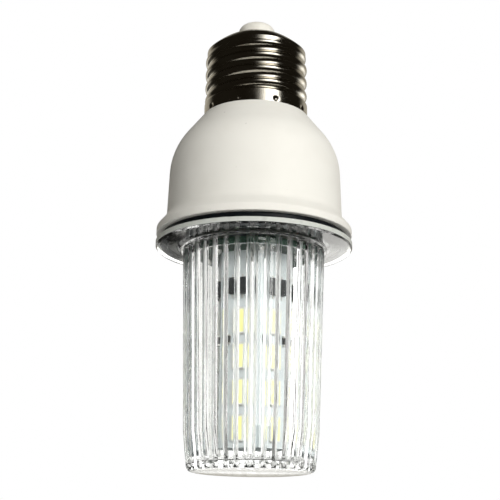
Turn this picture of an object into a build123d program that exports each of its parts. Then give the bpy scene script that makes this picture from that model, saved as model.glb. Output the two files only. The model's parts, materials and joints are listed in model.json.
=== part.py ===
from build123d import *
import os
from math import pi, radians, tan

# LED bulb standing on its cover, screw cap up. The origin is the centre of the cover's flat bottom,
# +Z runs up the bulb's axis, and the photograph looks along +Y. All sizes are in millimetres.

# Clear fluted cover
cover_length = 54.4
cover_top_radius = 17.55
cover_knee_height = 9.5
knee_draft = 1.25
foot_draft = 1.0
cover_foot_rounding = 1.4
cover_wall = 2.0
rib_count = 36
rib_depth = 0.6
first_flute_angle = -2
flute_floor_share = 0.46
flute_mouth_share = 0.70
collar_step = 0.55
collar_height = 0.8
flange_reach = 5.5
flange_thickness = 1.7
flange_bevel = 0.4
neck_step = 1.35
neck_height = 8.0
neck_wall = 1.7

# Rubber seal between the flange and the housing
seal_thickness = 1.5
seal_edge_margin = 1.3
seal_neck_gap = 0.95

# Moulded housing
housing_height = 31.7
housing_rim_margin = 0.1
housing_rim_height = 1.8
housing_foot_height = 4.6
housing_foot_flare = 0.6
housing_shoulder_drop = 10.0
housing_wall = 1.8
housing_wall_gap = 0.3
rim_corner_rounding = 0.9
foot_rounding = 3.0
shoulder_rounding = 17.0
neck_slip = 0.3

# Rolled screw shell
skirt_radius = 13.2
skirt_height = 3.7
thread_crest_radius = 13.1
thread_depth = 1.0
thread_pitch = 3.629
thread_crest_rounding = 0.75
thread_flank_angle = 38
spans_per_turn = 3
thread_span_count = 11
land_radius = 12.75
land_height = 0.9
shell_barrel_height = 17.8
shell_height = 23.0
shell_opening_radius = 4.9
dome_bulge = 0.45
shell_wall = 0.35
dent_count = 9
dent_radius = 0.75
dent_depth = 0.2
dent_height = 0.75
first_dent_angle = -58

# Insulator and contact on top of the shell
insulator_stand = 3.0
insulator_rounding = 2.2
insulator_flange_depth = 3.4
contact_radius = 2.3
contact_thickness = 0.5
contact_shank_radius = 0.8

# Housing neck inside the shell
shell_neck_height = 11.5
shell_neck_step = 3.4
neck_clearance = 0.15

# Light engine: a hexagon of boards hung from a round board
board_count = 6
board_apothem = 8.2
board_thickness = 0.8
board_bottom = 4.9
first_board_angle = -112
board_corner_gap = 0.05
round_board_sink = 2.4
round_board_seat = 1.8
round_board_thickness = 1.6
round_board_slip = 0.15
tab_width = 4.0
tab_stand = 0.4
slot_clearance = 0.12

# Parts on each board
led_per_board = 4
first_led_lift = 4.55
led_length = 6.0
led_width = 2.9
led_height = 0.7
window_length = 5.4
window_width = 2.3
window_depth = 0.3
regulator_length = 4.9
regulator_width = 3.9
regulator_thickness = 1.4
regulator_drop = 8.8
resistor_length = 2.4
resistor_width = 1.3
resistor_thickness = 0.55
resistor_row = 2.485
resistor_offset = 2.9
solder_radius = 1.1
solder_circle_radius = 11.5
first_solder_angle = -138

# Driver board inside the housing
driver_board_width = 13.0
driver_board_height = 33.0
driver_board_thickness = 1.6
capacitor_radius = 4.0
capacitor_length = 14.0
capacitor_rounding = 0.6
capacitor_groove = 0.35
capacitor_lift = 3.5
capacitor_offset = -2.0
choke_radius = 4.0
choke_length = 7.0
choke_flange = 1.2
choke_waist = 1.6
choke_lift = 9.0
film_capacitor_length = 8.0
film_capacitor_width = 4.5
film_capacitor_height = 7.0
film_capacitor_lift = 19.0
film_capacitor_rounding = 0.6
fuse_radius = 1.3
fuse_length = 7.0
fuse_lift = 24.5
fuse_offset = -3.6
chip_length = 4.9
chip_width = 3.9
chip_thickness = 1.5
driver_chip_lift = 25.0
driver_chip_offset = 2.6
rectifier_lift = 28.0
component_clearance = 0.05
lead_radius = 0.6
lead_offset = 4.0
lead_rise = 7.0
bend_share = 0.45

# Radii worked out from the cover's top radius
cover_knee_radius = cover_top_radius - knee_draft
cover_foot_radius = cover_knee_radius - foot_draft
board_seat_radius = cover_top_radius - round_board_seat
round_board_radius = board_seat_radius - round_board_slip
collar_radius = cover_top_radius + collar_step
neck_radius = cover_top_radius + neck_step
flange_radius = neck_radius + flange_reach
seal_inner_radius = neck_radius + seal_neck_gap
seal_outer_radius = flange_radius - seal_edge_margin
housing_rim_radius = flange_radius - housing_rim_margin
rim_bore = neck_radius + neck_slip
housing_wall_radius = rim_bore + housing_wall_gap + housing_wall
housing_foot_radius = housing_wall_radius + housing_foot_flare

# Heights worked out from the sizes above
round_board_bottom = cover_length - round_board_sink
first_led_height = board_bottom + first_led_lift
regulator_centre = round_board_bottom - regulator_drop
led_pitch = (regulator_centre - first_led_height) / led_per_board
resistor_centre = first_led_height + resistor_row * led_pitch
flange_top = cover_length + flange_thickness
rim_bottom = flange_top + seal_thickness
shell_seat = rim_bottom + housing_height
skirt_top = shell_seat + skirt_height
barrel_top = shell_seat + shell_barrel_height
shell_top = shell_seat + shell_height
round_board_top = round_board_bottom + round_board_thickness
driver_board_top = round_board_top + driver_board_height
thread_root_radius = thread_crest_radius - thread_depth

os.makedirs("parts", exist_ok=True)


def rounded_outline(corners):
    # Closed outline through corners given as radius, height and rounding
    points = [(radius, height) for radius, height, rounding in corners]
    FilletPolyline(*points, radius=[rounding for radius, height, rounding in corners], close=True)


def board_plane(angle, standoff):
    # Plane facing outwards at an angle round the axis, with its y running up the bulb
    outward = Vector(1, 0, 0).rotate(Axis.Z, angle)
    across = Vector(0, 1, 0).rotate(Axis.Z, angle)
    return Plane(origin=outward * standoff, x_dir=across, z_dir=outward)


def flute_corners(crest_radius):
    # Trapezoid of one flute: a narrow floor at the ribs' root and a wider mouth beyond their crests
    rib_pitch = 2 * pi * crest_radius / rib_count
    floor_half = rib_pitch * flute_floor_share / 2
    mouth_half = rib_pitch * flute_mouth_share / 2
    outer_half = 2 * mouth_half - floor_half
    floor_radius = crest_radius - rib_depth
    outer_radius = crest_radius + rib_depth
    return [
        (floor_radius, -floor_half),
        (outer_radius, -outer_half),
        (outer_radius, outer_half),
        (floor_radius, floor_half),
    ]


# Clear cover: turned form first, then one flute repeated round it
foot_slope = (cover_knee_radius - cover_foot_radius) / cover_knee_height
bore_offset = rib_depth + cover_wall
ledge_radius = cover_top_radius - bore_offset

flute_stations = [
    (-rib_depth, cover_foot_radius - foot_slope * rib_depth),
    (cover_knee_height, cover_knee_radius),
    (cover_length - collar_height, cover_top_radius),
]

with BuildPart() as flute:
    for station_height, crest_radius in flute_stations:
        with BuildSketch(Plane.XY.offset(station_height)):
            with BuildLine():
                Polyline(*flute_corners(crest_radius), close=True)
            make_face()
    loft(ruled=True)

with BuildPart() as clear_cover:
    with BuildSketch(Plane.XZ):
        with BuildLine():
            rounded_outline([
                (0, 0, 0),
                (cover_foot_radius, 0, cover_foot_rounding),
                (cover_knee_radius, cover_knee_height, 0),
                (cover_top_radius, cover_length - collar_height, 0),
                (collar_radius, cover_length - collar_height, 0),
                (collar_radius, cover_length, 0),
                (flange_radius - flange_bevel, cover_length, 0),
                (flange_radius, cover_length + flange_bevel, 0),
                (flange_radius, flange_top, 0),
                (neck_radius, flange_top, 0),
                (neck_radius, flange_top + neck_height, 0),
                (neck_radius - neck_wall, flange_top + neck_height, 0),
                (neck_radius - neck_wall, cover_length, 0),
                (board_seat_radius, cover_length, 0),
                (board_seat_radius, round_board_bottom, 0),
                (ledge_radius, round_board_bottom, 0),
                (cover_knee_radius - bore_offset, cover_knee_height, 0),
                (cover_foot_radius - bore_offset, cover_wall, cover_foot_rounding),
                (0, cover_wall, 0),
            ])
        make_face()
    revolve(axis=Axis.Z)
    with PolarLocations(0, rib_count, start_angle=first_flute_angle):
        add(flute.part, mode=Mode.SUBTRACT)

clear_cover.part.label = "clear_cover"
export_step(clear_cover.part, "parts/clear_cover.step")

# Sealing ring squeezed between the flange and the housing
with BuildPart() as sealing_ring:
    with BuildSketch(Plane.XY.offset(flange_top)):
        Circle(seal_outer_radius)
        Circle(seal_inner_radius, mode=Mode.SUBTRACT)
    extrude(amount=seal_thickness)

sealing_ring.part.label = "sealing_ring"
export_step(sealing_ring.part, "parts/sealing_ring.step")

# Housing: one moulded shell with a rim, a round shoulder and a stepped neck inside the screw shell
shoulder_top = shell_seat - housing_shoulder_drop
lower_neck_radius = skirt_radius - shell_wall - neck_clearance
upper_neck_radius = thread_root_radius - shell_wall - neck_clearance
neck_bore = upper_neck_radius - housing_wall

with BuildPart() as housing:
    with BuildSketch(Plane.XZ):
        with BuildLine():
            rounded_outline([
                (rim_bore, rim_bottom, 0),
                (housing_rim_radius, rim_bottom, 0),
                (housing_rim_radius, rim_bottom + housing_rim_height, rim_corner_rounding),
                (housing_foot_radius, rim_bottom + housing_foot_height, foot_rounding),
                (housing_wall_radius, shoulder_top, shoulder_rounding),
                (skirt_radius + neck_clearance, shell_seat, 0),
                (lower_neck_radius, shell_seat, 0),
                (lower_neck_radius, shell_seat + shell_neck_step, 0),
                (upper_neck_radius, shell_seat + shell_neck_step + thread_depth, 0),
                (upper_neck_radius, shell_seat + shell_neck_height, 0),
                (neck_bore, shell_seat + shell_neck_height, 0),
                (neck_bore, shell_seat - housing_wall, 0),
                (housing_wall_radius - housing_wall, shoulder_top - housing_wall / 2,
                 shoulder_rounding - housing_wall),
                (housing_wall_radius - housing_wall, rim_bottom + housing_foot_height, 0),
                (rim_bore, rim_bottom + housing_rim_height, 0),
            ])
        make_face()
    revolve(axis=Axis.Z)

housing.part.label = "housing"
export_step(housing.part, "parts/housing.step")


def draw_shell_outline(inset):
    # Half outline of the shell without its thread, drawn in by the inset
    foot = (skirt_radius - inset, shell_seat)
    land_top = (land_radius - inset, barrel_top)
    opening = (shell_opening_radius, shell_top - inset)
    Polyline(
        (0, shell_seat),
        foot,
        (skirt_radius - inset, skirt_top),
        (thread_root_radius - inset, skirt_top + thread_depth),
        (thread_root_radius - inset, barrel_top - land_height - thread_depth / 2),
        (land_radius - inset, barrel_top - land_height),
        land_top,
    )
    SagittaArc(land_top, opening, -dome_bulge)
    Polyline(opening, (0, shell_top - inset), (0, shell_seat))


def thread_ridge(inset, span_count):
    # Rounded ridge of the rolled thread: one span of its right-handed helix, repeated up the shell
    thread_bottom = skirt_top - land_height
    crest = thread_crest_radius - inset
    base = thread_root_radius - inset - shell_wall / 2
    crest_half = thread_crest_rounding / 2
    foot_half = (crest - base) * tan(radians(thread_flank_angle)) + thread_crest_rounding
    span_rise = thread_pitch / spans_per_turn
    with BuildPart() as span:
        with BuildLine() as path:
            Helix(thread_pitch, span_rise, base, center=(0, 0, thread_bottom))
        with BuildSketch(Plane.XZ):
            with BuildLine():
                rounded_outline([
                    (base, thread_bottom - foot_half, 0),
                    (crest, thread_bottom - crest_half, crest_half),
                    (crest, thread_bottom + crest_half, crest_half),
                    (base, thread_bottom + foot_half, 0),
                ])
            make_face()
        sweep(path=path.line, is_frenet=True)
    with BuildPart() as ridge:
        for step in range(span_count):
            with Locations(Location((0, 0, step * span_rise), (0, 0, step * 360 / spans_per_turn))):
                add(span.part)
        with BuildSketch(Plane.XZ):
            with BuildLine():
                Polyline(
                    (0, shell_seat),
                    (skirt_radius - inset, shell_seat),
                    (skirt_radius - inset, barrel_top - thread_pitch),
                    (thread_root_radius - inset, barrel_top + thread_depth),
                    (0, barrel_top + thread_depth),
                    close=True,
                )
            make_face()
        revolve(axis=Axis.Z, mode=Mode.INTERSECT)
    return ridge.part


def shell_skin(inset, span_count):
    # Solid bounded by one skin of the rolled sheet
    ridge = thread_ridge(inset, span_count)
    with BuildPart() as skin:
        with BuildSketch(Plane.XZ):
            with BuildLine():
                draw_shell_outline(inset)
            make_face()
        revolve(axis=Axis.Z)
        add(ridge)
    return skin.part


# Screw shell: sheet between an outer and an inner skin, open at the top, dented where it is staked.
# The thread inside stops a span short of the one outside, which closes its end.
outer_skin = shell_skin(0, thread_span_count)
inner_skin = shell_skin(shell_wall, thread_span_count - 1)

with BuildPart() as screw_shell:
    add(outer_skin)
    add(inner_skin, mode=Mode.SUBTRACT)
    with Locations((0, 0, shell_top)):
        Cylinder(shell_opening_radius, 2 * insulator_stand, mode=Mode.SUBTRACT)
    dent_circle = skirt_radius - dent_depth + dent_radius
    with Locations((0, 0, shell_seat + dent_height)):
        with PolarLocations(dent_circle, dent_count, start_angle=first_dent_angle - 90):
            Sphere(dent_radius, mode=Mode.SUBTRACT)

screw_shell.part.label = "screw_shell"
export_step(screw_shell.part, "parts/screw_shell.step")

# Insulator: flange under the dome and a rounded boss through the shell's opening
boss_radius = shell_opening_radius - neck_clearance
insulator_top = shell_top + insulator_stand
insulator_bottom = shell_top - insulator_flange_depth

with BuildPart() as cap_insulator:
    with BuildSketch(Plane.XZ):
        with BuildLine():
            draw_shell_outline(shell_wall + neck_clearance)
        make_face()
    revolve(axis=Axis.Z)
    with Locations((0, 0, insulator_bottom)):
        Cylinder(skirt_radius, insulator_flange_depth, align=(Align.CENTER, Align.CENTER, Align.MIN),
                 mode=Mode.INTERSECT)
    with BuildSketch(Plane.XZ):
        with BuildLine():
            rounded_outline([
                (0, insulator_bottom, 0),
                (boss_radius, insulator_bottom, 0),
                (boss_radius, insulator_top, insulator_rounding),
                (0, insulator_top, 0),
            ])
        make_face()
    revolve(axis=Axis.Z)
    with Locations((0, 0, insulator_top)):
        CounterBoreHole(contact_shank_radius, contact_radius, contact_thickness)

cap_insulator.part.label = "cap_insulator"
export_step(cap_insulator.part, "parts/cap_insulator.step")

# Centre contact riveted through the insulator
with BuildPart() as centre_contact:
    with Locations((0, 0, insulator_top)):
        Cylinder(contact_radius, contact_thickness, align=(Align.CENTER, Align.CENTER, Align.MAX))
        Cylinder(contact_shank_radius, insulator_top - insulator_bottom,
                 align=(Align.CENTER, Align.CENTER, Align.MAX))

centre_contact.part.label = "centre_contact"
export_step(centre_contact.part, "parts/centre_contact.step")

# Round board with a slot for the tab of each light board
board_angles = [first_board_angle + 360 / board_count * number for number in range(board_count)]
board_middle = board_apothem - board_thickness / 2

with BuildPart() as mounting_board:
    with BuildSketch(Plane.XY.offset(round_board_bottom)):
        Circle(round_board_radius)
        with PolarLocations(board_middle, board_count, start_angle=first_board_angle):
            Rectangle(board_thickness + 2 * slot_clearance, tab_width + 2 * slot_clearance,
                      mode=Mode.SUBTRACT)
    extrude(amount=round_board_thickness)

mounting_board.part.label = "mounting_board"
export_step(mounting_board.part, "parts/mounting_board.step")

# Light boards and what they carry, one set for each side of the hexagon
board_width = 2 * (board_apothem - board_thickness) * tan(radians(180 / board_count)) - board_corner_gap
led_heights = [first_led_height + led_pitch * number for number in range(led_per_board)]
led_places = [(0, height) for height in led_heights]
window_plane_height = board_apothem + led_height - window_depth

for number, angle in enumerate(board_angles, start=1):
    with BuildPart() as led_board:
        with BuildSketch(board_plane(angle, board_apothem - board_thickness)):
            with Locations((0, board_bottom)):
                Rectangle(board_width, round_board_bottom - board_bottom, align=(Align.CENTER, Align.MIN))
            with Locations((0, round_board_bottom)):
                Rectangle(tab_width, round_board_thickness + tab_stand, align=(Align.CENTER, Align.MIN))
        extrude(amount=board_thickness)

    led_board.part.label = f"led_board_{number}"
    export_step(led_board.part, f"parts/led_board_{number}.step")

    with BuildPart() as led_packages:
        with BuildSketch(board_plane(angle, board_apothem)):
            with Locations(*led_places):
                Rectangle(led_width, led_length)
        extrude(amount=led_height)
        with BuildSketch(board_plane(angle, window_plane_height)):
            with Locations(*led_places):
                Rectangle(window_width, window_length)
        extrude(amount=window_depth, mode=Mode.SUBTRACT)

    led_packages.part.label = f"led_packages_{number}"
    export_step(led_packages.part, f"parts/led_packages_{number}.step")

    with BuildPart() as phosphor_windows:
        with BuildSketch(board_plane(angle, window_plane_height)):
            with Locations(*led_places):
                Rectangle(window_width, window_length)
        extrude(amount=window_depth)

    phosphor_windows.part.label = f"phosphor_windows_{number}"
    export_step(phosphor_windows.part, f"parts/phosphor_windows_{number}.step")

# Current regulator near the top of each board
with BuildPart() as current_regulators:
    for angle in board_angles:
        with BuildSketch(board_plane(angle, board_apothem)):
            with Locations((0, regulator_centre)):
                Rectangle(regulator_length, regulator_width)
    extrude(amount=regulator_thickness)

current_regulators.part.label = "current_regulators"
export_step(current_regulators.part, "parts/current_regulators.step")

# Pair of resistors beside the lights of each board
with BuildPart() as board_resistors:
    for angle in board_angles:
        with BuildSketch(board_plane(angle, board_apothem)):
            with Locations((-resistor_offset, resistor_centre), (resistor_offset, resistor_centre)):
                Rectangle(resistor_width, resistor_length)
    extrude(amount=resistor_thickness)

board_resistors.part.label = "board_resistors"
export_step(board_resistors.part, "parts/board_resistors.step")

# Domed solder joints on the underside of the round board
with BuildPart() as solder_joints:
    with Locations((0, 0, round_board_bottom)):
        with PolarLocations(solder_circle_radius, board_count, start_angle=first_solder_angle):
            Sphere(solder_radius)
    split(bisect_by=Plane.XY.offset(round_board_bottom), keep=Keep.BOTTOM)

solder_joints.part.label = "solder_joints"
export_step(solder_joints.part, "parts/solder_joints.step")

# Driver board standing on the round board, its parts on a front and a back face
front_face = Plane.XZ.offset(driver_board_thickness / 2)
back_face = Plane.XZ.offset(-driver_board_thickness / 2)

with BuildPart() as driver_board:
    with BuildSketch(front_face):
        with Locations((0, round_board_top)):
            Rectangle(driver_board_width, driver_board_height, align=(Align.CENTER, Align.MIN))
    extrude(amount=-driver_board_thickness)

driver_board.part.label = "driver_board"
export_step(driver_board.part, "parts/driver_board.step")

# Bulk capacitor lying along the front face
capacitor_axis = (capacitor_offset, -driver_board_thickness / 2 - component_clearance - capacitor_radius, 0)
capacitor_bottom = round_board_top + capacitor_lift
groove_height = capacitor_bottom + capacitor_rounding + 2 * capacitor_groove

with BuildPart() as bulk_capacitor:
    with BuildSketch(Plane(origin=capacitor_axis, x_dir=(1, 0, 0), z_dir=(0, -1, 0))):
        with BuildLine():
            rounded_outline([
                (0, capacitor_bottom, 0),
                (capacitor_radius, capacitor_bottom, capacitor_rounding),
                (capacitor_radius, groove_height - capacitor_groove, 0),
                (capacitor_radius - capacitor_groove, groove_height, 0),
                (capacitor_radius, groove_height + capacitor_groove, 0),
                (capacitor_radius, capacitor_bottom + capacitor_length, capacitor_rounding),
                (0, capacitor_bottom + capacitor_length, 0),
            ])
        make_face()
    revolve(axis=Axis(capacitor_axis, (0, 0, 1)))

bulk_capacitor.part.label = "bulk_capacitor"
export_step(bulk_capacitor.part, "parts/bulk_capacitor.step")

# Choke standing on the back face: a drum core with its winding between the flanges
choke_waist_radius = choke_radius - choke_waist
winding_radius = choke_radius - choke_flange / 2
choke_height = round_board_top + choke_lift
winding_length = choke_length - 2 * choke_flange

with BuildPart() as choke_core:
    with BuildSketch(back_face):
        with Locations((0, choke_height)):
            Circle(choke_radius)
    extrude(amount=-choke_length)
    with BuildSketch(back_face.offset(-choke_flange)):
        with Locations((0, choke_height)):
            Circle(choke_radius)
            Circle(choke_waist_radius, mode=Mode.SUBTRACT)
    extrude(amount=-winding_length, mode=Mode.SUBTRACT)

choke_core.part.label = "choke_core"
export_step(choke_core.part, "parts/choke_core.step")

with BuildPart() as choke_winding:
    with BuildSketch(back_face.offset(-choke_flange)):
        with Locations((0, choke_height)):
            Circle(winding_radius)
            Circle(choke_waist_radius, mode=Mode.SUBTRACT)
    extrude(amount=-winding_length)

choke_winding.part.label = "choke_winding"
export_step(choke_winding.part, "parts/choke_winding.step")

# Film capacitor on the back face above the choke
with BuildPart() as film_capacitor:
    with BuildSketch(back_face):
        with Locations((0, round_board_top + film_capacitor_lift)):
            RectangleRounded(film_capacitor_length, film_capacitor_width, film_capacitor_rounding)
    extrude(amount=-film_capacitor_height)

film_capacitor.part.label = "film_capacitor"
export_step(film_capacitor.part, "parts/film_capacitor.step")

# Fuse resistor lying along the front face above the bulk capacitor
fuse_axis = (fuse_offset, -driver_board_thickness / 2 - component_clearance - fuse_radius, 0)
fuse_bottom = round_board_top + fuse_lift

with BuildPart() as fuse_resistor:
    with BuildSketch(Plane(origin=fuse_axis, x_dir=(1, 0, 0), z_dir=(0, -1, 0))):
        with BuildLine():
            rounded_outline([
                (0, fuse_bottom, 0),
                (fuse_radius, fuse_bottom, fuse_radius / 2),
                (fuse_radius, fuse_bottom + fuse_length, fuse_radius / 2),
                (0, fuse_bottom + fuse_length, 0),
            ])
        make_face()
    revolve(axis=Axis(fuse_axis, (0, 0, 1)))

fuse_resistor.part.label = "fuse_resistor"
export_step(fuse_resistor.part, "parts/fuse_resistor.step")

# Driver chip on the front face and bridge rectifier on the back face
with BuildPart() as driver_chip:
    with BuildSketch(front_face):
        with Locations((driver_chip_offset, round_board_top + driver_chip_lift)):
            Rectangle(chip_width, chip_length)
    extrude(amount=chip_thickness)

driver_chip.part.label = "driver_chip"
export_step(driver_chip.part, "parts/driver_chip.step")

with BuildPart() as rectifier:
    with BuildSketch(back_face):
        with Locations((0, round_board_top + rectifier_lift)):
            Rectangle(chip_length, chip_width)
    extrude(amount=-chip_thickness)

rectifier.part.label = "rectifier"
export_step(rectifier.part, "parts/rectifier.step")


def bend_radii(route):
    # Each bend is as large as the shorter of its two runs allows
    radii = []
    for before, corner, after in zip(route, route[1:], route[2:]):
        arriving = Vector(corner) - Vector(before)
        leaving = Vector(after) - Vector(corner)
        half_turn = radians(arriving.get_angle(leaving) / 2)
        shorter_run = min(arriving.length, leaving.length)
        radii.append(bend_share * shorter_run / tan(half_turn))
    return radii


# Live lead from the driver board up to the centre contact
neck_top = shell_seat + shell_neck_height
live_route = [
    (lead_offset, 0, driver_board_top),
    (lead_offset, 0, driver_board_top + lead_rise),
    (0, 0, neck_top),
    (0, 0, insulator_bottom),
]

with BuildPart() as live_lead:
    with BuildLine() as live_path:
        FilletPolyline(*live_route, radius=bend_radii(live_route))
    with BuildSketch(Plane.XY.offset(driver_board_top)):
        with Locations((lead_offset, 0)):
            Circle(lead_radius)
    sweep(path=live_path.line)

live_lead.part.label = "live_lead"
export_step(live_lead.part, "parts/live_lead.step")

# Neutral lead from the driver board over the neck to the inside of the shell
shell_bore = thread_root_radius - shell_wall
neutral_route = [
    (-lead_offset, 0, driver_board_top),
    (-lead_offset, 0, driver_board_top + 2 * lead_rise),
    (-shell_bore + lead_radius, 0, neck_top + 2 * lead_rise / 3),
]

with BuildPart() as neutral_lead:
    with BuildLine() as neutral_path:
        FilletPolyline(*neutral_route, radius=bend_radii(neutral_route))
    with BuildSketch(Plane.XY.offset(driver_board_top)):
        with Locations((-lead_offset, 0)):
            Circle(lead_radius)
    sweep(path=neutral_path.line)

neutral_lead.part.label = "neutral_lead"
export_step(neutral_lead.part, "parts/neutral_lead.step")

lead_bends = bend_radii(live_route) + bend_radii(neutral_route)
print("lead bends in mm:", [round(radius, 1) for radius in lead_bends])
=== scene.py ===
import json
import math

import bpy
from mathutils import Matrix, Vector


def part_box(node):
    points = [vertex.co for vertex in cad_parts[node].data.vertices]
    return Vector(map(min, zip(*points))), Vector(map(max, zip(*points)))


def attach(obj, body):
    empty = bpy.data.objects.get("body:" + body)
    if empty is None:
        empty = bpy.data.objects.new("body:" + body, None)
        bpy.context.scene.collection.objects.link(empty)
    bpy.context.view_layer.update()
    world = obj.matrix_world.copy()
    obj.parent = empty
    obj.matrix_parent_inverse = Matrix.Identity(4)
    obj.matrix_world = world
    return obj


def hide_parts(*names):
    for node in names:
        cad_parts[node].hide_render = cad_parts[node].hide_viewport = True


# LED bulb standing on its cover, screw cap up. Sizes are millimetres, turned to metres where a mesh is made.
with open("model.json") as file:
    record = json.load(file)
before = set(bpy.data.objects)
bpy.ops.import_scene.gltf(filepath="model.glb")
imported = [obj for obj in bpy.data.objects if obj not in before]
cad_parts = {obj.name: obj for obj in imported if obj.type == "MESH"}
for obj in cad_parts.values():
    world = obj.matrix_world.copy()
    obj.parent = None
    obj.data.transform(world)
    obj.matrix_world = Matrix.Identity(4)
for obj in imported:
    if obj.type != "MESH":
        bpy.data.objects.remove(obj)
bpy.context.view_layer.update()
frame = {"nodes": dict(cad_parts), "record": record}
mm = 0.001
print("frame loaded:", len(frame["nodes"]), "pieces")


# Shader sockets with arithmetic

class Wire:
    def __init__(self, tree, socket=None):
        self.tree = tree
        self.socket = socket

    def node(self, kind, settings=None, values=None, out=0):
        made = self.tree.nodes.new(kind)
        for key, value in (settings or {}).items():
            setattr(made, key, value)
        for key, value in (values or {}).items():
            if isinstance(value, Wire):
                self.tree.links.new(value.socket, made.inputs[key])
            else:
                made.inputs[key].default_value = value
        return Wire(self.tree, made.outputs[out])

    def calc(self, operation, first, second=0.0):
        return self.node("ShaderNodeMath", {"operation": operation}, {0: first, 1: second})

    def __add__(self, other):
        return self.calc("ADD", self, other)

    def __radd__(self, other):
        return self.calc("ADD", other, self)

    def __sub__(self, other):
        return self.calc("SUBTRACT", self, other)

    def __rsub__(self, other):
        return self.calc("SUBTRACT", other, self)

    def __mul__(self, other):
        return self.calc("MULTIPLY", self, other)

    def __rmul__(self, other):
        return self.calc("MULTIPLY", other, self)

    # 0 below low, 1 above high, smooth in between
    def between(self, low, high):
        return self.node("ShaderNodeMapRange", {"interpolation_type": "SMOOTHSTEP", "clamp": True},
                         {"Value": self, "From Min": low, "From Max": high})

    # Colour over base where this value is 1
    def blend(self, base, over):
        return self.node("ShaderNodeMix", {"data_type": "RGBA"}, {0: self, 6: base, 7: over}, out=2)


def rgba(colour):
    return (*colour, 1)


def startMaterial(name):
    material = bpy.data.materials.new(name)
    material.use_nodes = True
    wire = Wire(material.node_tree)
    shader = material.node_tree.nodes["Principled BSDF"]
    place = wire.node("ShaderNodeTexCoord", out="Object")
    return material, wire, shader, place


def link(value, shader, name):
    value.tree.links.new(value.socket, shader.inputs[name])


# Noise whose blotches are about the given number of millimetres across
def noise(wire, place, size, detail):
    return wire.node("ShaderNodeTexNoise", None,
                     {"Vector": place, "Scale": 1 / (size * mm), "Detail": detail})


def stretched(wire, place, scale):
    return wire.node("ShaderNodeMapping", None, {"Vector": place, "Scale": scale})


def bumped(wire, height, shader, strength, depth):
    bump = wire.node("ShaderNodeBump", None, {"Height": height, "Strength": strength, "Distance": depth * mm})
    link(bump, shader, "Normal")


# Round marks given as x, y, z and radius, at full tone up to a share of the radius and soft beyond it
def spotMask(wire, place, spots, fullTone=0.4):
    mask = None
    for x, y, z, radius in spots:
        gap = wire.node("ShaderNodeVectorMath", {"operation": "DISTANCE"},
                        {0: place, 1: (x * mm, y * mm, z * mm)}, out="Value")
        spot = 1 - gap.between(fullTone * radius * mm, radius * mm)
        mask = spot if mask is None else wire.calc("MAXIMUM", mask, spot)
    return mask


# Materials. In each look a Size is a blotch in millimetres, a Range is where a noise fades in, a Share is
# how much of a tone is laid on, a Dull is what a noise adds to the roughness, and a Height is its part of
# the bump.

nickelLook = {"colour": (0.66, 0.63, 0.56), "stain": (0.36, 0.30, 0.21), "stainRange": (0.48, 0.75),
              "stainShare": 0.45, "drawnSize": 0.9, "drawnStretch": (4.0, 4.0, 0.5), "cloudSize": 6.0,
              "pitSize": 0.4, "roughness": 0.10, "drawnDull": 0.08, "stainDull": 0.15, "drawnHeight": 0.8,
              "pitHeight": 0.2, "bump": 0.35, "bumpDepth": 0.04}


def nickelPlate(name):
    look = nickelLook
    material, wire, shader, place = startMaterial(name)
    drawn = noise(wire, stretched(wire, place, look["drawnStretch"]), look["drawnSize"], detail=4)
    clouds = noise(wire, place, look["cloudSize"], detail=3)
    pits = noise(wire, place, look["pitSize"], detail=2)
    stain = clouds.between(*look["stainRange"]) * look["stainShare"]
    link(stain.blend(rgba(look["colour"]), rgba(look["stain"])), shader, "Base Color")
    link(look["roughness"] + drawn * look["drawnDull"] + stain * look["stainDull"], shader, "Roughness")
    shader.inputs["Metallic"].default_value = 1.0
    height = drawn * look["drawnHeight"] + pits * look["pitHeight"]
    bumped(wire, height, shader, look["bump"], look["bumpDepth"])
    return material


housingLook = {"colour": (0.862, 0.846, 0.79), "shade": (0.81, 0.79, 0.73), "mark": (0.30, 0.28, 0.24),
               "cloudSize": 9.0, "shadeRange": (0.4, 0.75), "shadeShare": 0.5, "grainSize": 0.3,
               "speckSize": 0.8, "speckRange": (0.78, 0.82), "speckShare": 0.3, "markShare": 0.5,
               "roughness": 0.42, "cloudDull": 0.10, "grainDull": 0.05, "specular": 0.35, "bump": 0.10,
               "bumpDepth": 0.05}
# Small marks on the housing's front: x, y, z and radius
housingMarks = [(-2.4, -19.9, 80.6, 0.40), (-7.6, -14.6, 85.2, 0.30), (2.3, -21.4, 75.7, 0.25),
                (-9.9, -19.0, 66.4, 0.25), (8.2, -19.7, 70.2, 0.20)]


def housingPlastic(name):
    look = housingLook
    material, wire, shader, place = startMaterial(name)
    clouds = noise(wire, place, look["cloudSize"], detail=4)
    grain = noise(wire, place, look["grainSize"], detail=2)
    specks = noise(wire, place, look["speckSize"], detail=1).between(*look["speckRange"])
    marks = spotMask(wire, place, housingMarks)
    shade = clouds.between(*look["shadeRange"]) * look["shadeShare"]
    tone = shade.blend(rgba(look["colour"]), rgba(look["shade"]))
    dirt = wire.calc("MAXIMUM", specks * look["speckShare"], marks * look["markShare"])
    link(dirt.blend(tone, rgba(look["mark"])), shader, "Base Color")
    link(look["roughness"] + clouds * look["cloudDull"] + grain * look["grainDull"], shader, "Roughness")
    shader.inputs["Specular IOR Level"].default_value = look["specular"]
    bumped(wire, grain * 0.5 + clouds * 0.5, shader, look["bump"], look["bumpDepth"])
    return material


rubberLook = {"colour": (0.004, 0.006, 0.008), "dust": (0.06, 0.06, 0.06), "dustSize": 1.2,
              "dustRange": (0.55, 0.85), "dustShare": 0.15, "grainSize": 0.25, "roughness": 0.35,
              "dustDull": 0.2, "specular": 0.3, "bump": 0.15, "bumpDepth": 0.04}


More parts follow.
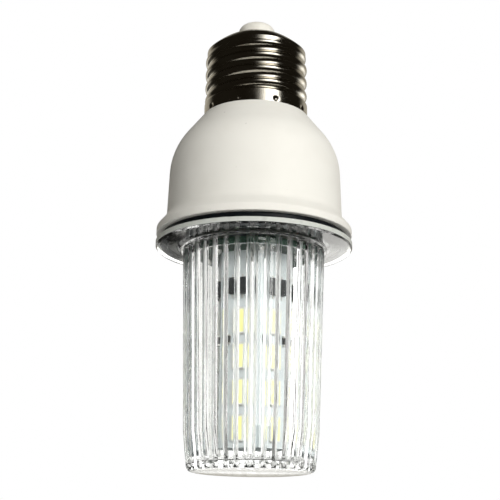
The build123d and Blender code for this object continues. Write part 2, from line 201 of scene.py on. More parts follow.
def rubberBlack(name):
    look = rubberLook
    material, wire, shader, place = startMaterial(name)
    dust = noise(wire, place, look["dustSize"], detail=4).between(*look["dustRange"])
    grain = noise(wire, place, look["grainSize"], detail=2)
    link((dust * look["dustShare"]).blend(rgba(look["colour"]), rgba(look["dust"])), shader, "Base Color")
    link(look["roughness"] + dust * look["dustDull"], shader, "Roughness")
    shader.inputs["Specular IOR Level"].default_value = look["specular"]
    bumped(wire, grain, shader, look["bump"], look["bumpDepth"])
    return material


# The crests' line has the radius crestFoot at height 0 and widens by crestRise a millimetre. A rib is what
# lies less than ribTop under that line. It fades out down to ribFoot, and upwards between the heights in
# ribsEnd.
clearLook = {"colour": (0.985, 0.99, 0.985), "shadow": (0.71, 0.72, 0.715), "ior": 1.49, "roughness": 0.03,
             "streakSize": 0.7, "streakStretch": (1.0, 1.0, 0.05), "streakRange": (0.45, 0.8),
             "streakDull": 0.10, "flowSize": 2.2, "flowStretch": (1.0, 1.0, 0.12), "scuffSize": 0.5,
             "scuffStretch": (1.0, 1.0, 0.3), "scuffRange": (0.62, 0.78), "scuffDull": 0.06,
             "ribStreakRange": (0.25, 0.6), "ribDull": 0.38, "crestFoot": 16.03, "crestRise": 0.0283,
             "ribFoot": 0.9, "ribTop": 0.5, "ribsEnd": (53.3, 53.5), "bump": 0.35, "bumpDepth": 0.06}


def clearPlastic(name):
    look = clearLook
    material, wire, shader, place = startMaterial(name)
    streaks = noise(wire, stretched(wire, place, look["streakStretch"]), look["streakSize"], detail=4)
    flow = noise(wire, stretched(wire, place, look["flowStretch"]), look["flowSize"], detail=2)
    scuffs = noise(wire, stretched(wire, place, look["scuffStretch"]), look["scuffSize"], detail=3)
    shader.inputs["Base Color"].default_value = rgba(look["colour"])
    # Ribs are duller than the flute floors between them
    height = wire.node("ShaderNodeSeparateXYZ", None, {"Vector": place}, out="Z")
    flat = wire.node("ShaderNodeVectorMath", {"operation": "MULTIPLY"},
                     {0: place, 1: (1.0, 1.0, 0.0)}, out="Vector")
    radius = wire.node("ShaderNodeVectorMath", {"operation": "LENGTH"}, {0: flat}, out="Value")
    crest = look["crestFoot"] * mm + height * look["crestRise"]
    lowest, highest = look["ribsEnd"]
    onRib = (radius - crest).between(-look["ribFoot"] * mm, -look["ribTop"] * mm)
    ribs = onRib * (1 - height.between(lowest * mm, highest * mm))
    ribDull = ribs * (look["ribDull"] * streaks.between(*look["ribStreakRange"]))
    streakDull = streaks.between(*look["streakRange"]) * look["streakDull"]
    dull = streakDull + scuffs.between(*look["scuffRange"]) * look["scuffDull"] + ribDull
    link(look["roughness"] + dull, shader, "Roughness")
    shader.inputs["Transmission Weight"].default_value = 1.0
    shader.inputs["IOR"].default_value = look["ior"]
    bumped(wire, flow * 0.5 + streaks * 0.5, shader, look["bump"], look["bumpDepth"])
    shadowRay = wire.node("ShaderNodeLightPath", out="Is Shadow Ray")
    through = wire.node("ShaderNodeBsdfTransparent", None, {"Color": rgba(look["shadow"])}, out="BSDF")
    both = wire.node("ShaderNodeMixShader", None,
                     {0: shadowRay, 1: Wire(wire.tree, shader.outputs[0]), 2: through})
    link(both, wire.tree.nodes["Material Output"], "Surface")
    return material


creamLook = {"colour": (0.87, 0.845, 0.775), "shade": (0.80, 0.77, 0.69), "cloudSize": 2.5,
             "shadeRange": (0.4, 0.7), "grainSize": 0.3, "roughness": 0.42, "grainDull": 0.12,
             "bump": 0.15, "bumpDepth": 0.04}


def creamMoulding(name):
    look = creamLook
    material, wire, shader, place = startMaterial(name)
    clouds = noise(wire, place, look["cloudSize"], detail=3)
    grain = noise(wire, place, look["grainSize"], detail=2)
    tone = clouds.between(*look["shadeRange"]).blend(rgba(look["colour"]), rgba(look["shade"]))
    link(tone, shader, "Base Color")
    link(look["roughness"] + grain * look["grainDull"], shader, "Roughness")
    bumped(wire, grain, shader, look["bump"], look["bumpDepth"])
    return material


lacquerLook = {"trackSize": 2.6, "trackRange": (0.05, 0.09), "trackShare": 0.6, "cloudSize": 3.0,
               "cloudShare": 0.4, "cloudDull": 0.12, "fibreSize": 0.25, "trackHeight": 0.5,
               "fibreHeight": 0.3, "bump": 0.25, "bumpDepth": 0.05}


# Circuit board lacquer over broad copper tracks, with narrow sunken gaps of another tone between them
def solderMask(name, colour, gapTone, roughness, specular):
    look = lacquerLook
    material, wire, shader, place = startMaterial(name)
    cells = wire.node("ShaderNodeTexVoronoi", {"feature": "DISTANCE_TO_EDGE"},
                      {"Vector": place, "Scale": 1 / (look["trackSize"] * mm)}, out="Distance")
    tracks = cells.between(*look["trackRange"])
    clouds = noise(wire, place, look["cloudSize"], detail=3)
    fibre = noise(wire, place, look["fibreSize"], detail=2)
    share = tracks * look["trackShare"] + clouds * look["cloudShare"]
    link(share.blend(rgba(gapTone), rgba(colour)), shader, "Base Color")
    link(roughness + clouds * look["cloudDull"], shader, "Roughness")
    shader.inputs["Specular IOR Level"].default_value = specular
    height = tracks * look["trackHeight"] + fibre * look["fibreHeight"]
    bumped(wire, height, shader, look["bump"], look["bumpDepth"])
    return material


# The phosphor's glow is painted light: the unlit phosphor emits its own tone, though it is no lamp
gelLook = {"deep": (0.98, 0.93, 0.36), "light": (1.0, 0.98, 0.52), "toneRange": (0.3, 0.65),
           "grainSize": 0.12, "grainShare": 0.4, "poolSize": 1.6, "poolShare": 0.5, "paintedGlow": 0.3,
           "roughness": 0.30, "grainDull": 0.2, "bump": 0.2, "bumpDepth": 0.03}


def phosphorGel(name):
    look = gelLook
    material, wire, shader, place = startMaterial(name)
    grains = noise(wire, place, look["grainSize"], detail=3)
    pool = noise(wire, place, look["poolSize"], detail=2)
    share = (grains * look["grainShare"] + pool * look["poolShare"]).between(*look["toneRange"])
    tone = share.blend(rgba(look["deep"]), rgba(look["light"]))
    link(tone, shader, "Base Color")
    # Painted glow: the phosphor's tone is also emitted, so it shines brighter than its lighting makes it
    link(tone, shader, "Emission Color")
    shader.inputs["Emission Strength"].default_value = look["paintedGlow"]
    link(look["roughness"] + grains * look["grainDull"], shader, "Roughness")
    bumped(wire, grains, shader, look["bump"], look["bumpDepth"])
    return material


mouldingLook = {"cloudSize": 1.5, "fleckRange": (0.5, 0.75), "fleckShare": 0.5, "grainSize": 0.15,
                "grainDull": 0.15, "bump": 0.2, "bumpDepth": 0.03}


# Small moulded part: faint clouding in another tone and fine grain
def plainMoulding(name, colour, roughness, fleck):
    look = mouldingLook
    material, wire, shader, place = startMaterial(name)
    clouds = noise(wire, place, look["cloudSize"], detail=3)
    grain = noise(wire, place, look["grainSize"], detail=2)
    share = clouds.between(*look["fleckRange"]) * look["fleckShare"]
    link(share.blend(rgba(colour), rgba(fleck)), shader, "Base Color")
    link(roughness + grain * look["grainDull"], shader, "Roughness")
    bumped(wire, grain, shader, look["bump"], look["bumpDepth"])
    return material


metalLook = {"rippleSize": 0.5, "darkShare": 0.5, "darkTone": 0.6, "rippleDull": 0.2, "bump": 0.25,
             "bumpDepth": 0.05}


# Contact, solder and windings
def brightMetal(name, colour, roughness):
    look = metalLook
    material, wire, shader, place = startMaterial(name)
    ripple = noise(wire, place, look["rippleSize"], detail=3)
    dark = [part * look["darkTone"] for part in colour]
    link((ripple * look["darkShare"]).blend(rgba(colour), rgba(dark)), shader, "Base Color")
    link(roughness + ripple * look["rippleDull"], shader, "Roughness")
    shader.inputs["Metallic"].default_value = 1.0
    bumped(wire, ripple, shader, look["bump"], look["bumpDepth"])
    return material


# A moulding has a colour, roughness and fleck, a lacquer a colour, gap tone, roughness and specular level
finishes = {
    "nickel_shell": nickelPlate("nickelPlate"),
    "cream_insulator": creamMoulding("creamMoulding"),
    "contact_metal": brightMetal("contactNickel", (0.72, 0.69, 0.62), 0.18),
    "housing_white": housingPlastic("housingPlastic"),
    "seal_rubber": rubberBlack("rubberBlack"),
    "cover_clear": clearPlastic("clearPlastic"),
    "frosted_edge": plainMoulding("frostedEdge", (0.62, 0.64, 0.60), 0.4, (0.42, 0.43, 0.40)),
    "green_board": solderMask("greenLacquer", (0.010, 0.034, 0.020), (0.022, 0.060, 0.038), 0.45, 0.2),
    "white_board": solderMask("whiteLacquer", (0.80, 0.845, 0.86), (0.74, 0.785, 0.80), 0.34, 0.5),
    "led_package": plainMoulding("packageWhite", (0.88, 0.88, 0.84), 0.35, (0.78, 0.78, 0.74)),
    "phosphor": phosphorGel("phosphorGel"),
    "chip_black": plainMoulding("chipBlack", (0.018, 0.020, 0.022), 0.45, (0.05, 0.055, 0.06)),
    "resistor_black": plainMoulding("resistorBlack", (0.022, 0.022, 0.022), 0.3, (0.07, 0.07, 0.07)),
    "solder": brightMetal("solderBright", (0.78, 0.77, 0.74), 0.22),
    "capacitor_sleeve": plainMoulding("sleeveBlue", (0.02, 0.03, 0.08), 0.3, (0.04, 0.05, 0.12)),
    "ferrite": plainMoulding("ferriteGrey", (0.07, 0.07, 0.07), 0.6, (0.13, 0.12, 0.11)),
    "winding_copper": brightMetal("windingCopper", (0.62, 0.27, 0.12), 0.3),
    "film_case": plainMoulding("filmRed", (0.50, 0.08, 0.03), 0.3, (0.60, 0.14, 0.06)),
    "fuse_ceramic": plainMoulding("fuseGreen", (0.30, 0.38, 0.27), 0.5, (0.42, 0.48, 0.38)),
    "lead_red": plainMoulding("leadRed", (0.42, 0.02, 0.02), 0.35, (0.5, 0.06, 0.05)),
    "lead_black": plainMoulding("leadBlack", (0.02, 0.02, 0.02), 0.35, (0.06, 0.06, 0.06)),
}
for subpart in frame["record"]["subparts"]:
    node = frame["nodes"][subpart["node"]]
    node.data.materials.clear()
    node.data.materials.append(finishes[subpart["material_slot"]])
print("materials made:", len(finishes))


# Modelling tools

# Vertices nearer than these are one, along an outline and all over a turned piece
lineGap = 0.0005
seamGap = 0.002
# Heights that differ by less than this are the same
hair = 0.01


def deselectAll():
    if bpy.context.object and bpy.context.object.mode != "OBJECT":
        bpy.ops.object.mode_set(mode="OBJECT")
    bpy.ops.object.select_all(action="DESELECT")


def pickOnly(piece):
    deselectAll()
    piece.select_set(True)
    bpy.context.view_layer.objects.active = piece


def finishPiece(piece, slot, nodes=(), crease=35):
    pickOnly(piece)
    bpy.ops.object.transform_apply(location=True, rotation=True, scale=True)
    bpy.ops.object.shade_smooth_by_angle(angle=math.radians(crease))
    piece.data.materials.clear()
    piece.data.materials.append(finishes[slot])
    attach(piece, "root")
    if nodes:
        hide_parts(*nodes)


def applyModifier(piece, kind, **settings):
    pickOnly(piece)
    modifier = piece.modifiers.new(kind.title(), kind)
    for key, value in settings.items():
        setattr(modifier, key, value)
    bpy.ops.object.modifier_apply(modifier=modifier.name)


# Points of an outline whose corners are given as radius, height and rounding
def roundedPath(corners, closed, arcSteps):
    points = []
    count = len(corners)
    for number, (radius, height, rounding) in enumerate(corners):
        corner = Vector((radius, height))
        if rounding == 0 or (not closed and number in (0, count - 1)):
            points.append(corner)
            continue
        before = (Vector(corners[number - 1][:2]) - corner).normalized()
        after = (Vector(corners[(number + 1) % count][:2]) - corner).normalized()
        half = before.angle(after) / 2
        middle = corner + (before + after).normalized() * rounding / math.sin(half)
        start = corner + before * rounding / math.tan(half) - middle
        end = corner + after * rounding / math.tan(half) - middle
        sweep = start.angle_signed(end)
        for step in range(arcSteps + 1):
            points.append(middle + Matrix.Rotation(-sweep * step / arcSteps, 2) @ start)
    return points


# One vertex pulled along an outline in the plane y = 0
def drawOutline(name, points, closed):
    deselectAll()
    first = points[0]
    bpy.ops.mesh.primitive_plane_add(size=mm, location=(first[0] * mm, 0, first[1] * mm))
    piece = bpy.context.object
    piece.name = name
    bpy.ops.object.mode_set(mode="EDIT")
    bpy.ops.mesh.merge(type="CENTER")
    stops = list(points) + ([first] if closed else [])
    for here, there in zip(stops, stops[1:]):
        move = ((there[0] - here[0]) * mm, 0, (there[1] - here[1]) * mm)
        bpy.ops.mesh.extrude_region_move(TRANSFORM_OT_translate={"value": move})
    return piece


# Lathe: the outline spun round the bulb's axis
def turnPiece(name, points, closed, steps):
    piece = drawOutline(name, points, closed)
    bpy.ops.mesh.select_all(action="SELECT")
    bpy.ops.mesh.remove_doubles(threshold=lineGap * mm)
    bpy.ops.mesh.spin(steps=steps, angle=2 * math.pi, center=(0, 0, 0), axis=(0, 0, 1))
    bpy.ops.mesh.select_all(action="SELECT")
    bpy.ops.mesh.remove_doubles(threshold=seamGap * mm)
    bpy.ops.mesh.normals_make_consistent(inside=False)
    bpy.ops.object.mode_set(mode="OBJECT")
    bpy.ops.object.transform_apply(location=True, rotation=True, scale=True)
    return piece


# Moves each vertex to the radius, angle and height that the rule gives
def moveRings(piece, rule):
    for vertex in piece.data.vertices:
        radius = math.hypot(vertex.co.x, vertex.co.y) / mm
        angle = math.atan2(vertex.co.y, vertex.co.x)
        radius, angle, height = rule(radius, angle, vertex.co.z / mm)
        vertex.co = Vector((radius * math.cos(angle), radius * math.sin(angle), height)) * mm
    piece.data.update()


def lowOf(node):
    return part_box(node)[0][2] / mm


def highOf(node):
    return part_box(node)[1][2] / mm


def radiusOf(node):
    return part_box(node)[1][0] / mm


# Heights and radii that the frame gives
flangeTop = lowOf("sealing_ring")
rimBottom = highOf("sealing_ring")
shellSeat = lowOf("screw_shell")
shellTop = highOf("screw_shell")
boardBottom = lowOf("mounting_board")
boardRadius = radiusOf("mounting_board")
flangeRadius = radiusOf("clear_cover")

# Clear fluted cover
cover = {"flange": 1.7, "bevel": 0.4, "topRadius": 17.55, "kneeRadius": 16.3, "kneeHeight": 9.5,
         "kneeRounding": 6.0, "footRadius": 15.3, "footRounding": 1.4, "collarRadius": 18.1,
         "collarHeight": 0.8, "collarRounding": 0.15, "flangeRounding": 0.2, "neckRadius": 18.9,
         "neckWall": 1.7, "neckRounding": 0.3, "edge": 0.04, "slip": 0.15, "bore": 2.6, "boreRounding": 0.1,
         "floor": 2.0, "ribCount": 36, "ribDepth": 1.1, "frontTurn": -1.4}
# A steep rib, then a flat flute floor: for each station its place as a share of the pitch, and how far it
# lies under the crest as a share of the rib's depth. The ribs are counted from the front line to both sides,
# so that two of them stand together there.
ribStations = ((0.0, 1.0), (0.18, 0.12), (0.25, 0.0), (0.32, 0.12), (0.5, 1.0), (0.75, 1.0))


def makeCover():
    c = cover
    top = highOf("clear_cover")
    flangeBottom = flangeTop - c["flange"]
    collarBottom = flangeBottom - c["collarHeight"]
    edge = flangeRadius - c["edge"]
    seat = boardRadius + c["slip"]
    neckBore = c["neckRadius"] - c["neckWall"]
    points = roundedPath([
        (0, 0, 0),
        (c["footRadius"], 0, c["footRounding"]),
        (c["kneeRadius"], c["kneeHeight"], c["kneeRounding"]),
        (c["topRadius"], collarBottom, 0),
        (c["collarRadius"], collarBottom, c["collarRounding"]),
        (c["collarRadius"], flangeBottom, c["collarRounding"]),
        (flangeRadius - c["bevel"], flangeBottom, c["collarRounding"]),
        (edge, flangeBottom + c["bevel"], c["collarRounding"]),
        (edge, flangeTop, c["flangeRounding"]),
        (c["neckRadius"], flangeTop, c["flangeRounding"]),
        (c["neckRadius"], top, c["neckRounding"]),
        (neckBore, top, c["neckRounding"]),
        (neckBore, flangeBottom, c["flangeRounding"]),
        (seat, flangeBottom, c["flangeRounding"]),
        (seat, boardBottom, 0),
        (c["topRadius"] - c["bore"], boardBottom, c["boreRounding"]),
        (c["kneeRadius"] - c["bore"], c["kneeHeight"], c["kneeRounding"]),
        (c["footRadius"] - c["bore"], c["floor"], c["footRounding"]),
        (0, c["floor"], 0),
    ], closed=False, arcSteps=6)
    perRib = len(ribStations)
    piece = turnPiece("clearCover", points, closed=False, steps=c["ribCount"] * perRib)
    pitch = 2 * math.pi / c["ribCount"]
    frontLine = math.radians(c["frontTurn"] - 90)

    def crestAt(height):
        if height < c["kneeHeight"]:
            rise = max(0.0, height / c["kneeHeight"])
            return c["footRadius"] + (c["kneeRadius"] - c["footRadius"]) * rise
        rise = (height - c["kneeHeight"]) / (collarBottom - c["kneeHeight"])
        return c["kneeRadius"] + (c["topRadius"] - c["kneeRadius"]) * rise

    def rib(radius, angle, height):
        turn = math.remainder(angle + math.pi / 2, 2 * math.pi)
        station = round(abs(turn) / pitch * perRib)
        share, drop = ribStations[station % perRib]
        angle = math.copysign((station // perRib + share) * pitch, turn) + frontLine
        if height < collarBottom + hair and radius > c["footRadius"] - c["bore"] / 2:
            radius = min(radius, crestAt(height) - c["ribDepth"] * drop)
        return radius, angle, height

    moveRings(piece, rib)
    finishPiece(piece, "cover_clear", ["clear_cover"], crease=30)


makeCover()
print("cover made")

# Frosted edge of the clear flange, from low to high under the flange's top
edgeBand = {"thickness": 0.03, "low": 1.25, "high": 0.15}


def makeEdgeBand():
    inner = flangeRadius - edgeBand["thickness"]
    bottom = flangeTop - edgeBand["low"]
    top = flangeTop - edgeBand["high"]
    points = [(inner, bottom), (flangeRadius, bottom), (flangeRadius, top), (inner, top)]
    piece = turnPiece("flangeEdge", points, closed=True, steps=160)
    finishPiece(piece, "frosted_edge")


makeEdgeBand()
print("flange edge made")

# Housing
housing = {"rimRadius": 24.3, "rimHeight": 1.8, "rimBore": 19.2, "rimRounding": 0.25,
           "rimTopRounding": 0.9, "footRadius": 21.9, "footHeight": 4.6, "footRounding": 3.0,
           "wallRadius": 21.3, "wall": 1.8, "shoulderDrop": 10.0, "shoulderRounding": 17.0,
           "innerShoulder": 15.2, "seat": 13.35, "lowerNeck": 12.7, "upperNeck": 11.6, "neckStep": 3.4,
           "neckSlope": 1.0, "neckBore": 9.8, "neckRounding": 0.3, "boreRounding": 1.0, "edgeRounding": 0.2}


def makeHousing():
    h = housing
    top = highOf("housing")
    shoulder = shellSeat - h["shoulderDrop"]
    stepTop = shellSeat + h["neckStep"]
    innerRadius = h["wallRadius"] - h["wall"]
    points = roundedPath([
        (h["rimBore"], rimBottom, h["edgeRounding"]),
        (h["rimRadius"], rimBottom, h["rimRounding"]),
        (h["rimRadius"], rimBottom + h["rimHeight"], h["rimTopRounding"]),
        (h["footRadius"], rimBottom + h["footHeight"], h["footRounding"]),
        (h["wallRadius"], shoulder, h["shoulderRounding"]),
        (h["seat"], shellSeat, h["rimRounding"]),
        (h["lowerNeck"], shellSeat, 0),
        (h["lowerNeck"], stepTop, h["edgeRounding"]),
        (h["upperNeck"], stepTop + h["neckSlope"], h["edgeRounding"]),
        (h["upperNeck"], top, h["neckRounding"]),
        (h["neckBore"], top, h["neckRounding"]),
        (h["neckBore"], shellSeat - h["wall"], h["boreRounding"]),
        (innerRadius, shoulder - h["wall"] / 2, h["innerShoulder"]),
        (innerRadius, rimBottom + h["footHeight"], 0),
        (h["rimBore"], rimBottom + h["rimHeight"], 0),
    ], closed=True, arcSteps=14)
    piece = turnPiece("housingShell", points, closed=True, steps=160)
    finishPiece(piece, "housing_white", ["housing"], crease=40)


makeHousing()
print("housing made")

# Screw shell: rolled thread, staking dents and a shallow dome. The thread grows over skirtFade upwards, from
# skirtStart below the skirt's top, and over landFade downwards, from landStart below the barrel's top.
shell = {"skirtRadius": 13.2, "skirtHeight": 3.7, "skirtStart": 0.6, "skirtFade": 1.2, "crest": 13.1,
         "depth": 1.04, "pitch": 3.629, "waveRadius": 1.05, "crestBelowSkirtTop": 1.2, "landRadius": 12.75,
         "landStart": 0.5, "landFade": 2.0, "barrelHeight": 17.8, "opening": 4.9, "domeBulge": 0.45,
         "wall": 0.35, "dents": 9, "firstDent": -148, "dentHeight": 0.85, "dentRadius": 0.85,
         "dentDepth": 0.4, "rows": 110, "steps": 240, "domeRows": 14}


# How far the rolled wave lies under its crest: round crests and round valleys of one radius
def threadDrop(phase):
    quarter = shell["pitch"] / 4
    away = abs((phase + 0.5) % 1.0 - 0.5) * shell["pitch"]
    if away <= quarter:
        return shell["waveRadius"] - math.sqrt(shell["waveRadius"] ** 2 - away ** 2)
    away = 2 * quarter - away
    return shell["depth"] - shell["waveRadius"] + math.sqrt(shell["waveRadius"] ** 2 - away ** 2)


def smoothStep(value):
    value = min(1.0, max(0.0, value))
    return value * value * (3 - 2 * value)


def makeShell():
    s = shell
    barrelTop = shellSeat + s["barrelHeight"]
    skirtTop = shellSeat + s["skirtHeight"]
    rowHeights = [shellSeat + s["barrelHeight"] * row / s["rows"] for row in range(s["rows"] + 1)]
    points = [(s["skirtRadius"], height) for height in rowHeights]
    start = Vector((s["landRadius"], barrelTop))
    chord = Vector((s["opening"], shellTop)) - start
    bulge = Vector((chord.y, -chord.x)).normalized() * s["domeBulge"]
    for step in range(1, s["domeRows"] + 1):
        share = step / s["domeRows"]
        points.append(start + chord * share + bulge * 4 * share * (1 - share))
    piece = turnPiece("screwShell", points, closed=False, steps=s["steps"])
    dentPitch = 2 * math.pi / s["dents"]

    def roll(radius, angle, height):
        if height > barrelTop + hair:
            return radius, angle, height
        phase = (height - skirtTop + s["crestBelowSkirtTop"]) / s["pitch"] - angle / (2 * math.pi)
        thread = s["crest"] - threadDrop(phase)
        belowLand = smoothStep((barrelTop - s["landStart"] - height) / s["landFade"])
        wave = s["landRadius"] + (thread - s["landRadius"]) * belowLand
        aboveSkirt = smoothStep((height - skirtTop + s["skirtStart"]) / s["skirtFade"])
        radius = s["skirtRadius"] + (wave - s["skirtRadius"]) * aboveSkirt
        if height < skirtTop:
            turn = (angle - math.radians(s["firstDent"])) / dentPitch
            sideways = (turn - round(turn)) * dentPitch * s["skirtRadius"]
            away = math.hypot(sideways, height - shellSeat - s["dentHeight"])
            radius -= s["dentDepth"] * smoothStep(1 - away / s["dentRadius"])
        return radius, angle, height

    moveRings(piece, roll)
    pickOnly(piece)
    bpy.ops.object.mode_set(mode="EDIT")
    bpy.ops.mesh.select_all(action="SELECT")
    bpy.ops.mesh.normals_make_consistent(inside=False)
    bpy.ops.object.mode_set(mode="OBJECT")
    applyModifier(piece, "SOLIDIFY", thickness=s["wall"] * mm, offset=-1)
    finishPiece(piece, "nickel_shell", ["screw_shell"], crease=50)


makeShell()
print("screw shell made")

# Sealing ring, a hair above the flange so that the clear flange keeps its inner reflections
seal = {"outer": 23.1, "outerRounding": 0.4, "inner": 21.3, "innerRounding": 0.2, "lift": 0.04}


def makeSeal():
    s = seal
    bottom = flangeTop + s["lift"]
    points = roundedPath([
        (s["inner"], bottom, s["innerRounding"]),
        (s["outer"], bottom, s["outerRounding"]),
        (s["outer"], rimBottom, s["outerRounding"]),
        (s["inner"], rimBottom, s["innerRounding"]),
    ], closed=True, arcSteps=6)
    piece = turnPiece("sealRing", points, closed=True, steps=160)
    finishPiece(piece, "seal_rubber", ["sealing_ring"])


makeSeal()
print("seal made")

# Insulator round the contact
insulator = {"radius": 4.75, "footRounding": 0.3, "shoulder": 2.2, "recessRadius": 2.45, "recess": 0.45,
             "recessRim": 0.1, "recessFoot": 0.05, "bore": 0.8}


def makeInsulator():
    i = insulator
    top = highOf("cap_insulator")
    bottom = lowOf("cap_insulator")
    recessFloor = top - i["recess"]
    points = roundedPath([
        (i["bore"], bottom, 0),
        (i["radius"], bottom, i["footRounding"]),
        (i["radius"], top, i["shoulder"]),
        (i["recessRadius"], top, i["recessRim"]),
        (i["recessRadius"], recessFloor, i["recessFoot"]),
        (i["bore"], recessFloor, 0),
    ], closed=True, arcSteps=8)
    piece = turnPiece("insulatorBody", points, closed=True, steps=96)
    finishPiece(piece, "cream_insulator", ["cap_insulator"])


makeInsulator()
print("insulator made")

# Small metal parts on each light board: heights up the board and places across it, and for each part its
# width, height and thickness. The first board's face looks along angle.
boardParts = {"angle": -112, "count": 6, "face": 8.2, "bevel": 0.06, "bevelSteps": 2,
              "firstLed": 9.45, "ledPitch": 8.4375, "ledCount": 4, "ledEnd": 3.1,
              "padSize": (2.2, 0.42, 0.35), "chip": 43.2, "leadCount": 4, "leadPitch": 1.27,
              "leadEnd": 2.42, "leadSize": (0.42, 1.0, 0.2), "resistor": 30.417, "resistorSide": 2.9,
              "capEnd": 1.02, "capSize": (1.34, 0.44, 0.59)}


# One bevelled block standing on the plane y = 0, with its outer face to the front
def makeBlock(name, size):
    deselectAll()
    width, height, thickness = [part * mm for part in size]
    bpy.ops.mesh.primitive_cube_add(size=1, location=(0, -thickness / 2, 0))
    piece = bpy.context.object
    piece.name = name
    piece.scale = (width, thickness, height)
    bpy.ops.object.transform_apply(location=True, rotation=True, scale=True)
    bpy.ops.object.mode_set(mode="EDIT")
    bpy.ops.mesh.select_all(action="SELECT")
    bpy.ops.mesh.bevel(offset=boardParts["bevel"] * mm, segments=boardParts["bevelSteps"], affect="EDGES")
    bpy.ops.object.mode_set(mode="OBJECT")
    return piece


# Copies of one block on the six boards, joined to one piece
def spreadOnBoards(name, size, places, slot):
    b = boardParts
    block = makeBlock(name, size)
    copies = []
    for number in range(b["count"]):
        turn = Matrix.Rotation(math.radians(b["angle"] + 90 + 360 / b["count"] * number), 4, "Z")
        for across, up in places:
            twin = block.copy()
            twin.data = block.data.copy()
            bpy.context.collection.objects.link(twin)
            twin.data.transform(turn @ Matrix.Translation(Vector((across, -b["face"], up)) * mm))
            copies.append(twin)
    deselectAll()
    bpy.data.objects.remove(block)
    for twin in copies:
        twin.select_set(True)
    bpy.context.view_layer.objects.active = copies[0]
    bpy.ops.object.join()
    piece = bpy.context.object
    piece.name = name
    finishPiece(piece, slot)


def makeBoardParts():
    b = boardParts
    ends = (-1, 1)
    leds = [b["firstLed"] + b["ledPitch"] * number for number in range(b["ledCount"])]
    rowMiddle = (b["leadCount"] - 1) / 2
    leadPlaces = [b["leadPitch"] * (number - rowMiddle) for number in range(b["leadCount"])]
    pads = [(0, led + end * b["ledEnd"]) for led in leds for end in ends]
    leads = [(across, b["chip"] + end * b["leadEnd"]) for across in leadPlaces for end in ends]
    caps = [(side * b["resistorSide"], b["resistor"] + end * b["capEnd"]) for side in ends for end in ends]
    spreadOnBoards("ledPads", b["padSize"], pads, "solder")
    spreadOnBoards("chipLeads", b["leadSize"], leads, "solder")
    spreadOnBoards("resistorCaps", b["capSize"], caps, "solder")


makeBoardParts()
print("board parts made")

# Camera in front of the bulb and a little below its foot, rolled by degrees. Its clipping starts in metres.
camera = {"distance": 279.0, "drop": 21.7, "aim": 54.57, "sideways": -0.95, "lens": 83.7, "roll": 0.85,
          "clipStart": 0.01}


def makeCamera():
    c = camera
    spot = Vector((c["sideways"], -c["distance"], -c["drop"])) * mm
    target = Vector((c["sideways"], 0, c["aim"])) * mm
    bpy.ops.object.camera_add(location=spot)
    eye = bpy.context.object
    eye.rotation_euler = (target - spot).to_track_quat("-Z", "Y").to_euler()
    eye.rotation_euler.rotate_axis("Z", math.radians(c["roll"]))
    eye.data.lens = c["lens"]
    eye.data.clip_start = c["clipStart"]
    bpy.context.scene.camera = eye


# Soft panels: angle to the right of the camera and rise in degrees, width, height and distance in metres,
# power in watts. They face the bulb's axis at the height of lampAim, in millimetres.
lampAim = 60
lampWidth = 0.5
lampHeight = 0.7
lamps = {
    "keyPanel": {"angle": 22, "rise": 18, "distance": 0.9, "power": 7.4, "tint": (1.0, 0.995, 0.975)},
    "rightPanel": {"angle": 100, "rise": 5, "distance": 1.0, "power": 1.6, "tint": (1.0, 1.0, 0.99)},
    "backPanel": {"angle": 170, "rise": 12, "distance": 1.0, "power": 2.4, "tint": (1.0, 1.0, 0.99)},
}


# Metal and gloss mirror the world's panel instead of these
def makeLight(name, angle, rise, distance, power, tint):
    middle = Vector((0, 0, lampAim * mm))
    turn = math.radians(angle)
    way = Vector((math.sin(turn), -math.cos(turn), math.tan(math.radians(rise))))
    bpy.ops.object.light_add(type="AREA", location=middle + way.normalized() * distance)
    lamp = bpy.context.object
    lamp.name = name
    lamp.rotation_euler = (-way).to_track_quat("-Z", "Y").to_euler()
    lamp.data.shape = "RECTANGLE"
    lamp.data.size = lampWidth
    lamp.data.size_y = lampHeight
    lamp.data.energy = power
    lamp.data.color = tint
    lamp.visible_glossy = False


# Where the parts of the world fade in or out. The panel's left and right edges are azimuths, in radians to
# the right of the camera. The others are parts of a direction of length 1: Back away from the camera, Side to
# the right, Foot and Top upwards. The panel has a quarter of its strength below panelFullFoot.
zones = {"panelLeft": (-0.15, 0.62), "panelRight": (0.78, 1.05), "panelFoot": (-0.15, 0.15),
         "panelFullFoot": (0.16, 0.34), "panelTop": (0.75, 0.9), "behindBack": (0.35, 0.75),
         "behindFoot": (-0.5, -0.2), "behindTop": (0.45, 0.75), "stripFoot": (-0.16, -0.10),
         "stripTop": (-0.04, 0.0), "lowBack": (0.5, 0.8), "lowTop": (-0.22, -0.12),
         "lowSide": (-0.085, -0.065), "paleSide": (-0.03, 0.05), "paleBack": (-0.6, -0.1),
         "dimBack": (0.62, 0.80), "dimFoot": (0.205, 0.25)}
tones = {"front": (0.012, 0.010, 0.007), "behind": (0.47, 0.44, 0.375), "strip": (1.0, 0.99, 0.95),
         "lowDark": (0.03, 0.03, 0.028), "lowBright": (2.0, 1.98, 1.9), "panel": (3.4, 3.35, 3.2),
         "paleLeft": (1.04, 1.04, 1.01), "paleRight": (0.70, 0.70, 0.68), "paleFront": (0.25, 0.25, 0.24),
         "dim": (0.07, 0.085, 0.07), "soft": (0.125, 0.122, 0.114), "inside": (0.28, 0.29, 0.285),
         "backdrop": (1, 1, 1)}


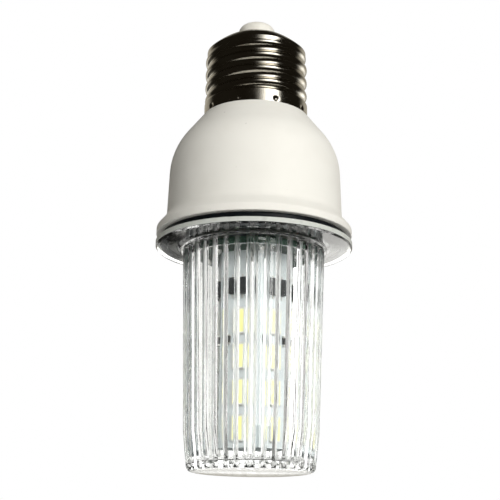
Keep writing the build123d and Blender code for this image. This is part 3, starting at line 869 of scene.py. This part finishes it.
def makeWorld():
    world = bpy.data.worlds.new("studio")
    bpy.context.scene.world = world
    world.use_nodes = True
    wire = Wire(world.node_tree)
    way = wire.node("ShaderNodeTexCoord", out="Generated")
    parts = [wire.node("ShaderNodeSeparateXYZ", None, {"Vector": way}, out=axis) for axis in "XYZ"]
    sideways, back, high = parts
    azimuth = wire.calc("ARCTAN2", sideways, back * -1)
    zone = zones
    tone = {name: rgba(colour) for name, colour in tones.items()}
    # Mirrored room: dark in front, a tall soft panel at the right that is weaker low down, pale behind
    panelSide = azimuth.between(*zone["panelLeft"]) * (1 - azimuth.between(*zone["panelRight"]))
    panelHigh = high.between(*zone["panelFoot"]) * 0.5 + high.between(*zone["panelFullFoot"]) * 0.5
    panel = panelSide * panelHigh * (1 - high.between(*zone["panelTop"]))
    isBehind = back.between(*zone["behindBack"])
    behind = isBehind * (1 - high.between(*zone["behindTop"])) * high.between(*zone["behindFoot"])
    strip = isBehind * high.between(*zone["stripFoot"]) * (1 - high.between(*zone["stripTop"]))
    low = back.between(*zone["lowBack"]) * (1 - high.between(*zone["lowTop"]))
    lowRight = sideways.between(*zone["lowSide"])
    room = behind.blend(tone["front"], tone["behind"])
    room = strip.blend(room, tone["strip"])
    room = (low * (1 - lowRight)).blend(room, tone["lowDark"])
    room = (low * lowRight).blend(room, tone["lowBright"])
    mirrored = (panel * panel).blend(room, tone["panel"])
    # Light that passes the clear cover: white behind, dimmer at the right, in front and high up behind
    pale = sideways.between(*zone["paleSide"]).blend(tone["paleLeft"], tone["paleRight"])
    passed = back.between(*zone["paleBack"]).blend(tone["paleFront"], pale)
    dim = back.between(*zone["dimBack"]) * high.between(*zone["dimFoot"])
    passed = dim.blend(passed, tone["dim"])
    cameraRay = wire.node("ShaderNodeLightPath", out="Is Camera Ray")
    glossyRay = wire.node("ShaderNodeLightPath", out="Is Glossy Ray")
    passedRay = wire.node("ShaderNodeLightPath", out="Is Transmission Ray")
    afterDiffuse = wire.node("ShaderNodeLightPath", out="Diffuse Depth")
    colour = glossyRay.blend(tone["soft"], mirrored)
    colour = passedRay.blend(colour, passed)
    colour = afterDiffuse.blend(colour, passedRay.blend(tone["soft"], tone["inside"]))
    colour = cameraRay.blend(colour, tone["backdrop"])
    link(colour, world.node_tree.nodes["Background"], "Color")


# Pale floor just under the bulb. Its radius is in metres, and white is how much of what the camera sees of it
# is plain white, so that it stays pale and keeps the shadow.
floorLook = {"radius": 1.2, "sides": 64, "drop": 0.05, "colour": (0.86, 0.86, 0.86), "roughness": 0.7,
             "white": 0.6}


# Seen from above only, because the camera stands below it, and not mirrored
def makeFloor():
    look = floorLook
    deselectAll()
    bpy.ops.mesh.primitive_circle_add(vertices=look["sides"], radius=look["radius"], fill_type="NGON",
                                      location=(0, 0, -look["drop"] * mm))
    floor = bpy.context.object
    floor.name = "floor"
    material, wire, shader = startMaterial("paleFloor")[:3]
    shader.inputs["Base Color"].default_value = rgba(look["colour"])
    shader.inputs["Roughness"].default_value = look["roughness"]
    under = wire.node("ShaderNodeNewGeometry", out="Backfacing")
    mirroredRay = wire.node("ShaderNodeLightPath", out="Is Glossy Ray")
    clear = wire.node("ShaderNodeBsdfTransparent", out="BSDF")
    cameraRay = wire.node("ShaderNodeLightPath", out="Is Camera Ray")
    white = wire.node("ShaderNodeEmission", None, {"Color": (1, 1, 1, 1), "Strength": 1.0}, out="Emission")
    pale = wire.node("ShaderNodeMixShader", None,
                     {0: cameraRay * look["white"], 1: Wire(wire.tree, shader.outputs[0]), 2: white})
    both = wire.node("ShaderNodeMixShader", None,
                     {0: wire.calc("MAXIMUM", under, mirroredRay), 1: pale, 2: clear})
    link(both, wire.tree.nodes["Material Output"], "Surface")
    floor.data.materials.append(material)


makeCamera()
for lampName, lampValues in lamps.items():
    makeLight(lampName, **lampValues)
makeWorld()
makeFloor()
bpy.context.scene.view_settings.view_transform = "Standard"
print("stage set")
